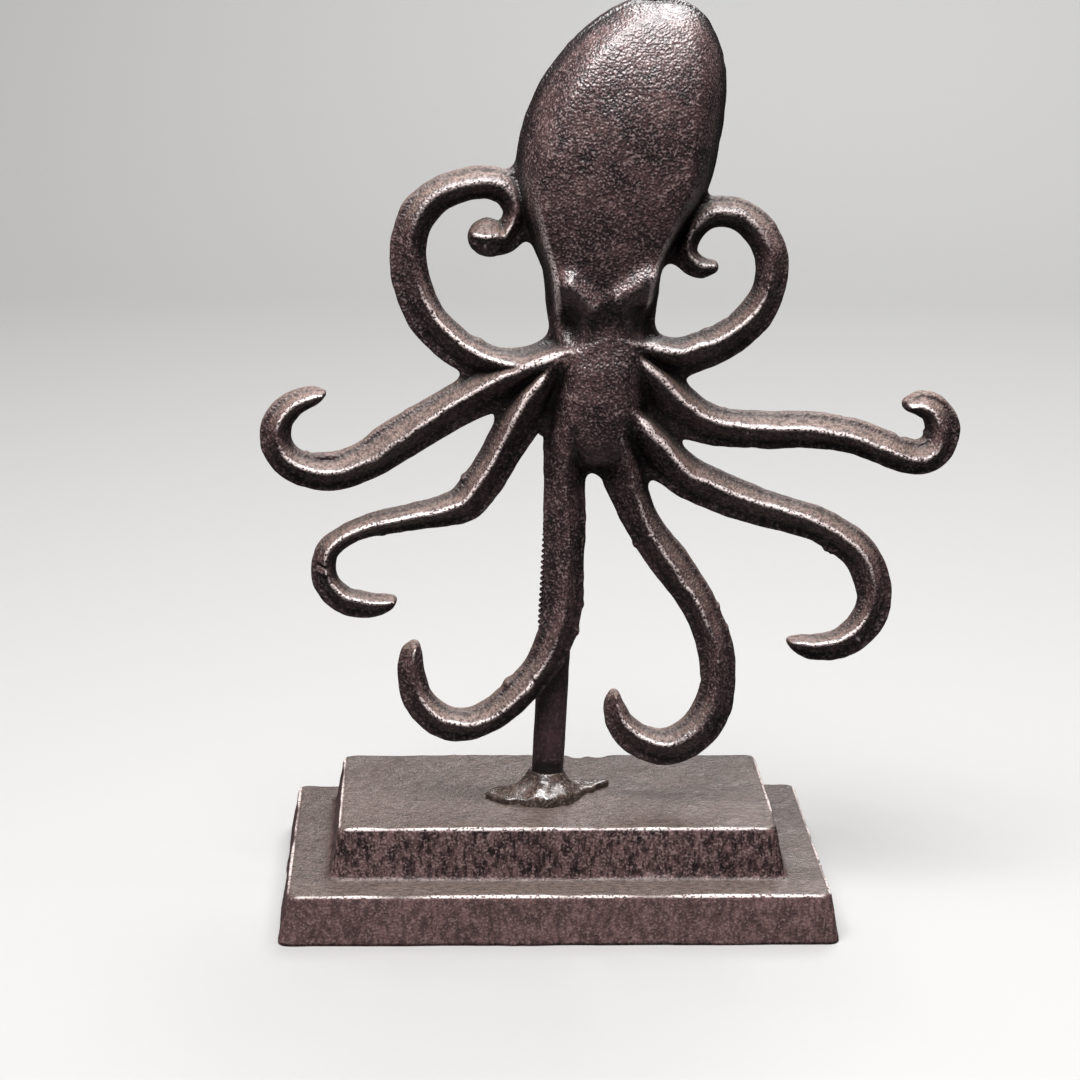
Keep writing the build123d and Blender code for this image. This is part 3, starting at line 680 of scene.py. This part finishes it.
def base():
    """Two drafted steps in one casting, hollow underneath, with uneven edges.

    Its top edges are painted pale, as abraded metal and as painted highlight.
    """
    half = base_half[:2]
    upper = half - tier_draft - tier_ledge

    def field(points):
        low = tier(points, half, 0, lower_tier_height, base_edge)
        high = tier(points, upper, lower_tier_height, base_top, base_edge)
        shape = smooth_min(low, high, tier_join) + uneven(points, BASE_NOISE)
        for place, radius, over in DENTS:
            far = np.linalg.norm(points - (base_x + place[0], place[1], place[2]), axis=-1)
            shape = shape - over * np.exp(-(far / radius) ** 2)
        shape = np.maximum(shape, -points[..., 2])
        low_room = tier(points, half - base_wall, 0, lower_tier_height - base_roof)
        high_room = tier(points, upper - base_wall, 0, base_top - base_roof)
        return smooth_max(shape, -np.minimum(low_room, high_room), base_edge)

    def rubbed_and_lit_edges(points):
        """How near points are to the top edges of the two steps, which are painted pale as abraded metal and
        as painted highlight.
        """
        near = 0
        for size, top_z in ((half, lower_tier_height), (upper, base_top)):
            side = np.maximum(np.abs(points[:, 0] - base_x) - size[0], np.abs(points[:, 1]) - size[1])
            aside, below = side + tier_draft, points[:, 2] - top_z
            near = near + np.exp(-(aside / edge_band_width) ** 2 - (below / edge_band_width) ** 2)
        return {"crest": edge_wear_and_highlight * near}

    margin = np.array([2.0, 2.0, 1.5])
    return solid("base_iron_casting", field, base_low - margin, base_high + margin, base_step, rubbed_and_lit_edges)


def post_frame():
    """The post's axis, with the two directions across it."""
    axis = np.array([math.sin(post_lean), 0, math.cos(post_lean)])
    side = np.array([math.cos(post_lean), 0, -math.sin(post_lean)])
    return axis, side, np.array([0, 1.0, 0])


def post():
    """A plain shank that turns into a rolled thread, on its leaning axis."""
    axis, side, depth = post_frame()
    shank_length = post_length - thread_length
    rows = np.concatenate([np.arange(-foot_depth, shank_length, shank_step),
                           np.arange(shank_length, post_length, thread_pitch / turn_steps), [post_length]])
    turn = np.linspace(0, 2 * math.pi, post_sides, endpoint=False)
    up, angle = np.meshgrid(rows, turn, indexing="ij")
    phase = (up / thread_pitch - angle / (2 * math.pi)) % 1
    flank = np.clip((1 + 2 * thread_flat) * np.abs(2 * phase - 1) - thread_flat, 0, 1)
    start = fade(up, shank_length, shank_length + run_out_turns * thread_pitch)
    end = fade(up, post_length - end_chamfer_length, post_length)
    wobble = uneven(np.stack([up, angle * shank_radius], axis=-1), SHANK_NOISE)
    threaded = thread_radius - thread_depth * (1 - flank)
    radius = shank_radius + wobble + start * (threaded - shank_radius) - end_chamfer_depth * end
    points = (foot + up[..., None] * axis
              + (radius * np.cos(angle))[..., None] * side + (radius * np.sin(angle))[..., None] * depth)
    count = len(rows)
    index = np.arange(count * post_sides).reshape(count, post_sides)
    following = np.roll(index, -1, axis=1)
    quads = np.stack([index[:-1], following[:-1], following[1:], index[1:]], axis=-1).reshape(-1, 4)
    ends = np.array([foot + rows[0] * axis, foot + rows[-1] * axis])
    middle = count * post_sides
    caps = []
    for k in range(0, post_sides, 2):
        three = [k, (k + 1) % post_sides, (k + 2) % post_sides]
        a, b, c = index[-1, three]
        caps.append((a, b, c, middle + 1))
        a, b, c = index[0, three]
        caps.append((c, b, a, middle))
    points = np.vstack([points.reshape(-1, 3), ends])
    along = np.concatenate([up.ravel(), [0, post_length]])
    # The weld's heat has darkened the foot of the shank.
    scorch = scorch_height + uneven(points, SCORCH_NOISE) - along
    return make_mesh("threaded_post", points, np.vstack([quads, caps]), {"hollow": scorch})


# Foot weld, seen from above: places round the post against its reach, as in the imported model,
# and its separate lumps: place, radius and height. Its collar climbs the post.
WELD_FOOT = [(1.30, 0.54), (0.78, 0.58), (0.30, 0.62), (-0.18, 0.60), (-0.66, 0.36), (-1.12, 0.02),
             (-1.22, -0.19), (-0.96, -0.46), (-0.52, -0.66), (-0.02, -0.76), (0.42, -0.58), (0.70, -0.10)]
WELD_LUMPS = [((-1.4, -5.4), 3.2, 3.6), ((3.0, -3.8), 3.0, 3.6), ((-4.4, -2.2), 3.6, 4.0),
              ((-7.0, -2.3), 3.2, 2.6), ((-9.8, -2.4), 2.8, 1.5), ((-12.6, -2.2), 2.2, 0.8),
              ((5.4, 1.0), 2.6, 2.4), ((9.0, 3.6), 2.6, 1.1), ((0.8, -7.4), 2.2, 1.3)]
weld_reach = 12.0
weld_height = 6.2
collar_height = 6.0
collar_width = 2.6
collar_curve = 1.3
lump_join = 1.4
lump_curve = 0.8
weld_least = 0.35
weld_edge = 0.6
weld_depth = 0.4
skirt_inset = 0.5
weld_step = 0.24
# Rounding of an edge that is sunk in another piece.
sunk_edge = 0.2


def base_weld():
    """Lumps of weld metal run together round the foot of the post."""
    edge = foot[:2] + weld_reach * np.array(WELD_FOOT)

    def field(points):
        plan = points[:, :, 0, :2]
        outline = outline_distance(plan, edge)
        from_post = np.linalg.norm(plan - foot[:2], axis=-1)
        from_shank = np.maximum(from_post - shank_radius, 0)
        rise = collar_height * np.exp(-(from_shank / collar_width) ** collar_curve)
        for place, radius, tall in WELD_LUMPS:
            far = np.linalg.norm(plan - foot[:2] - place, axis=-1) / radius
            rise = smooth_max(rise, tall * np.exp(-lump_curve * far ** 2), lump_join)
        rise = np.minimum(rise + uneven(plan, WELD_NOISE) + weld_least, weld_height)
        skirt = outline + uneven(plan, SKIRT_NOISE) + skirt_inset
        over = points[..., 2] - base_top
        top = smooth_max(skirt[..., None], over - rise[..., None], weld_edge)
        return smooth_max(top, -over - weld_depth, sunk_edge)

    margin = np.array([1.0, 1.0, 1.0])
    return solid("foot_weld", field, weld_low - margin, weld_high + margin, weld_step)


# Back beads: radius of their balls, middle of the balls from the beads' own ends and from the
# casting's back, how the balls run together, and how far they reach into the casting.
bead_radius = 2.2
bead_inset = 2.4
bead_out = 0.9
bead_join = 0.8
bead_depth = 0.3
bead_step = 0.25


def back_beads():
    """Two lumpy beads between the threaded end and the casting's back."""
    low, high = node_box("back_weld")
    middle = (low + high) / 2
    axis, side, _ = post_frame()
    half_length = (high[2] - low[2]) / 2
    apart = (high[0] - low[0]) / 2 - bead_inset

    def field(points):
        offset = points - middle
        up = offset @ axis
        aside = offset @ side
        inward = points[..., 1] - back_y
        shape = np.full(up.shape, 9.0)
        for sign in (-1, 1):
            for step in (-1, 0, 1):
                centre = step * (half_length - bead_inset)
                ball = np.sqrt((aside - sign * apart) ** 2 + (up - centre) ** 2 + (inward - bead_out) ** 2)
                shape = smooth_min(shape, ball - bead_radius, bead_join)
        shape = shape + uneven(points, BEAD_NOISE)
        return smooth_max(shape, -inward - bead_depth, sunk_edge)

    margin = np.array([1.0, 1.0, 1.0])
    return solid("back_beads", field, low - margin, high + margin, bead_step)


# Materials: textures in cells per metre, height of the grain in metres, how strongly the arms'
# upward flanks are painted a lighter brown, as painted top light, and how dull they are, and the
# shades that the materials share. Colours are linear.

grain_scale = 1900
pore_scale = 1100
brush_scale = 1500
grain_height = 0.0002
flank_top_light = 0.7
flank_dull = 0.34
# Painted top light: the lighter brown of the arms' upward flanks.
TOP_LIT_FLANK = (0.078, 0.047, 0.036, 1)
# Pale paint of crests and of the base's top edges: abraded metal and painted highlight.
RUBBED_AND_HIGHLIGHT = (0.34, 0.29, 0.28, 1)
PIT = (0.22, 0.18, 0.18, 1)
# Painted shade in the octopus's hollows; on the post, the scorch at its foot.
SHADE_AND_SCORCH = (0.10, 0.09, 0.09, 1)
STAIN = (0.6, 0.57, 0.55, 1)
SHADE = (0.5, 0.5, 0.5, 1)


def material(name):
    """A material with its shader and a helper that adds linked nodes."""
    made = bpy.data.materials.new(name)
    made.use_nodes = True
    tree = made.node_tree
    shader = tree.nodes["Principled BSDF"]

    def node(kind, inputs=None, **settings):
        new = tree.nodes.new(kind)
        for key, value in settings.items():
            setattr(new, key, value)
        for key, value in (inputs or {}).items():
            if isinstance(value, bpy.types.NodeSocket):
                tree.links.new(value, new.inputs[key])
            else:
                new.inputs[key].default_value = value
        return new

    return made, tree, shader, node


def blend(node, tree, factor, first, second, mode="MIX"):
    """A colour mix of two sockets or constant colours."""
    mixed = node("ShaderNodeMix", data_type="RGBA", blend_type=mode)
    for socket, value in ((mixed.inputs[0], factor), (mixed.inputs[6], first), (mixed.inputs[7], second)):
        if isinstance(value, bpy.types.NodeSocket):
            tree.links.new(value, socket)
        else:
            socket.default_value = value
    return mixed.outputs[2]


def ramp(node, value, low, high, to_low=0.0, to_high=1.0):
    """A value moved from one range to another, and held at its ends."""
    moved = node("ShaderNodeMapRange", {"Value": value, "From Min": low, "From Max": high,
                                        "To Min": to_low, "To Max": to_high})
    return moved.outputs[0]


def times(node, first, second):
    """The product of two values."""
    return node("ShaderNodeMath", {0: first, 1: second}, operation="MULTIPLY").outputs[0]


def iron(name, dark, warm, pale, gloss=0.31, relief=1.0, streaks=(1, 1, 1), top=None, pits=0.8,
         mottle=150, shine=0.5):
    """Rough-cast iron under a thin dark finish: mottled, grainy, and with crests painted pale as abrasion
    and highlight.

    gloss is the roughness between the pores, streaks stretches the pores and the mottling, top is
    the colour of upward faces, lighter as painted top light and with brushed grain, and shine is the
    specular level. The meshes' own values say where it is painted: crest pale, as abraded metal and
    as painted highlight; hollow dark, as painted shade on the octopus and as scorch on the post; and
    flank duller, and lighter brown where it faces up, as painted top light.
    """
    made, tree, shader, node = material(name)
    place = node("ShaderNodeTexCoord").outputs["Object"]
    drawn = node("ShaderNodeMapping", {"Vector": place, "Scale": streaks}).outputs[0]
    fine = node("ShaderNodeTexNoise", {"Vector": place, "Scale": grain_scale, "Detail": 0,
                                       "Roughness": 0.5})
    pores = node("ShaderNodeTexNoise", {"Vector": drawn, "Scale": pore_scale, "Detail": 2,
                                        "Roughness": 0.6})
    blotch = node("ShaderNodeTexNoise", {"Vector": drawn, "Scale": mottle, "Detail": 4, "Roughness": 0.65})
    fine, pores, blotch = (texture.outputs["Fac"] for texture in (fine, pores, blotch))
    colour = blend(node, tree, ramp(node, blotch, 0.36, 0.64), dark, warm)
    speck = times(node, ramp(node, fine, 0.50, 0.66), ramp(node, pores, 0.40, 0.60, 0.25, 0.85))
    colour = blend(node, tree, speck, colour, pale)
    normal = node("ShaderNodeNewGeometry").outputs["Normal"]
    upward = node("ShaderNodeSeparateXYZ", {0: normal}).outputs[2]
    # Upward-facing flanks of the arms are painted a lighter brown, as painted top light, and are duller.
    flank = node("ShaderNodeAttribute", attribute_name="flank").outputs["Fac"]
    flank = times(node, flank, ramp(node, upward, 0.15, 0.6))
    colour = blend(node, tree, times(node, flank, flank_top_light), colour, TOP_LIT_FLANK)
    pit = ramp(node, pores, 0.38, 0.52, pits, 0)
    colour = blend(node, tree, pit, colour, PIT, "MULTIPLY")
    if top:
        # Upward faces take their own colour with brushed grain and stains, lighter as painted top light.
        brushed = node("ShaderNodeMapping", {"Vector": place, "Scale": (0.45, 1, 1)}).outputs[0]
        brushed = node("ShaderNodeTexNoise", {"Vector": brushed, "Scale": brush_scale, "Detail": 2,
                                              "Roughness": 0.6})
        lit_top = blend(node, tree, ramp(node, brushed.outputs["Fac"], 0.36, 0.60),
                      tuple(0.45 * c for c in top[:3]) + (1,), top)
        lit_top = blend(node, tree, ramp(node, blotch, 0.34, 0.46, 0.6, 0), lit_top, STAIN, "MULTIPLY")
        # The lower step's walls are more even, and its ledge is darker than the top, but not in front.
        _, depth, level = node("ShaderNodeSeparateXYZ", {0: place}).outputs
        low = lower_tier_height * MM
        front = (tier_draft + tier_ledge - base_half[1]) * MM
        colour = blend(node, tree, ramp(node, level, low, low + 1.0 * MM, 0.35, 0), colour, warm)
        shaded = times(node, ramp(node, level, low + 1.0 * MM, low + 2.0 * MM, 0.4, 0),
                       ramp(node, depth, front - 0.9 * MM, front + 0.1 * MM))
        lit_top = blend(node, tree, shaded, lit_top, SHADE, "MULTIPLY")
        colour = blend(node, tree, ramp(node, upward, 0.6, 0.9), colour, lit_top)
    # Crests are painted pale, partly as abraded metal and partly as painted highlight.
    ridge = node("ShaderNodeAttribute", attribute_name="crest").outputs["Fac"]
    rubbed_and_lit = times(node, ramp(node, ridge, 0.12, 0.32), ramp(node, fine, 0.32, 0.48))
    colour = blend(node, tree, rubbed_and_lit, colour, RUBBED_AND_HIGHLIGHT)
    # Darkened by the hollow value: painted shade in the octopus's hollows, scorch on the post's foot.
    sunk = node("ShaderNodeAttribute", attribute_name="hollow").outputs["Fac"]
    colour = blend(node, tree, ramp(node, sunk, 0.1, 1.0, 0, 0.9), colour, SHADE_AND_SCORCH, "MULTIPLY")
    tree.links.new(colour, shader.inputs["Base Color"])
    rough = ramp(node, pores, 0.35, 0.65, gloss + 0.12, gloss - 0.06)
    rough = node("ShaderNodeMath", {0: flank, 1: flank_dull, 2: rough}, operation="MULTIPLY_ADD").outputs[0]
    tree.links.new(rough, shader.inputs["Roughness"])
    shader.inputs["Metallic"].default_value = 0.0
    shader.inputs["Specular IOR Level"].default_value = shine
    grains = node("ShaderNodeMath", {0: pores, 1: fine}, operation="ADD").outputs[0]
    bump = node("ShaderNodeBump", {"Height": grains, "Strength": relief, "Distance": grain_height})
    tree.links.new(bump.outputs[0], shader.inputs["Normal"])
    return made


def dress(obj, made):
    """Gives an object its one material."""
    obj.data.materials.clear()
    obj.data.materials.append(made)


# Camera, light and floor


def camera():
    """The photograph's viewing angle, from a fit to the base and the post."""
    focal_pixels = 2912.0
    frame_pixels = 1080.0
    sensor = 36.0
    eye = Vector((-39.2, -622.2, 246.8)) * MM
    yaw, pitch, roll = (math.radians(a) for a in (2.236, 14.927, 0.646))
    forward = Vector((math.sin(yaw) * math.cos(pitch), math.cos(yaw) * math.cos(pitch), -math.sin(pitch)))
    level = Vector((math.cos(yaw), -math.sin(yaw), 0))
    upright = level.cross(forward)
    right = level * math.cos(roll) + upright * math.sin(roll)
    up = upright * math.cos(roll) - level * math.sin(roll)
    data = bpy.data.cameras.new("camera")
    data.sensor_width = sensor
    data.lens = sensor * focal_pixels / frame_pixels
    data.clip_start = 0.01
    obj = bpy.data.objects.new("camera", data)
    obj.matrix_world = Matrix((
        (right.x, up.x, -forward.x, eye.x), (right.y, up.y, -forward.y, eye.y),
        (right.z, up.z, -forward.z, eye.z), (0, 0, 0, 1)))
    bpy.context.scene.collection.objects.link(obj)
    bpy.context.scene.camera = obj


def soft_light(name, place, aim, size, power, tint=(1, 1, 1)):
    """A wide rectangular light at a place, turned to its aim. Lengths are metres."""
    data = bpy.data.lights.new(name, "AREA")
    data.shape = "RECTANGLE"
    data.size, data.size_y = size
    data.energy = power
    data.color = tint
    obj = bpy.data.objects.new(name, data)
    obj.location = place
    obj.rotation_mode = "QUATERNION"
    obj.rotation_quaternion = (Vector(aim) - Vector(place)).to_track_quat("-Z", "Y")
    bpy.context.scene.collection.objects.link(obj)


def studio():
    """A pale floor that sweeps up behind, and soft light from above and in front, in metres."""
    near, depth, radius, top, wide = -0.14, 0.75, 0.45, 1.2, 2.5
    steps = 12
    profile = [(near, 0.0), (0.2, 0.0), (depth, 0.0)]
    for i in range(1, steps + 1):
        a = math.radians(90 * i / steps)
        profile.append((depth + radius * math.sin(a), radius * (1 - math.cos(a))))
    profile.append((depth + radius, top))
    points = [(x, y, z) for y, z in profile for x in (-wide, wide)]
    faces = [(2 * i, 2 * i + 1, 2 * i + 3, 2 * i + 2) for i in range(len(profile) - 1)]
    floor = make_mesh("floor", np.array(points) / MM, np.array(faces))
    made, _, shader, _ = material("floor_paper")
    shader.inputs["Base Color"].default_value = (0.160, 0.160, 0.158, 1)
    shader.inputs["Roughness"].default_value = 0.7
    dress(floor, made)
    # The dark iron would mirror the floor as a grey veil that the photograph doesn't show.
    floor.visible_glossy = False
    world = bpy.data.worlds.new("studio")
    world.use_nodes = True
    background = world.node_tree.nodes["Background"]
    background.inputs["Color"].default_value = (1.0, 0.93, 0.93, 1)
    background.inputs["Strength"].default_value = 0.06
    bpy.context.scene.world = world
    soft_light("front", (-0.16, -0.30, 0.86), (0, 0, 0.1), (0.66, 0.38), 32.0, (1.0, 0.98, 0.97))
    soft_light("sweep", (0.30, 0.76, 1.25), (0.20, 0.76, 0.0), (2.0, 0.7), 68.0)
    bpy.context.scene.view_settings.view_transform = "Standard"


def add(piece, made, slot, *nodes):
    """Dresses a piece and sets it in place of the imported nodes."""
    dress(piece, made)
    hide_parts(*nodes)
    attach(piece, "root")


def main():
    """Builds the stage and the five physical pieces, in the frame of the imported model."""
    camera()
    studio()
    octopus_iron = iron("octopus_iron", (0.010, 0.0045, 0.0055, 1), (0.050, 0.027, 0.027, 1),
                        (0.125, 0.092, 0.088, 1), gloss=0.37)
    base_iron = iron("base_iron", (0.006, 0.003, 0.0035, 1), (0.074, 0.043, 0.042, 1),
                     (0.11, 0.077, 0.073, 1), gloss=0.44, relief=0.6, streaks=(1, 1, 0.45),
                     top=(0.058, 0.043, 0.038, 1), pits=1.0, mottle=430, shine=0.2)
    steel = iron("post_steel", (0.012, 0.0055, 0.007, 1), (0.046, 0.022, 0.026, 1),
                 (0.06, 0.040, 0.042, 1), gloss=0.40, relief=0.3, pits=0.4)
    weld = iron("weld_metal", (0.010, 0.007, 0.006, 1), (0.050, 0.034, 0.028, 1),
                (0.11, 0.085, 0.074, 1), gloss=0.28, relief=0.3, pits=0.6, mottle=260)
    arms = [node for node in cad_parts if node.startswith("arm_")]
    add(octopus(), octopus_iron, "octopus_iron", "octopus_body", *arms)
    add(base(), base_iron, "base_iron", "base_casting")
    add(post(), steel, "post_steel", "post")
    add(base_weld(), weld, "weld_metal", "base_weld")
    add(back_beads(), weld, "weld_metal", "back_weld")


main()
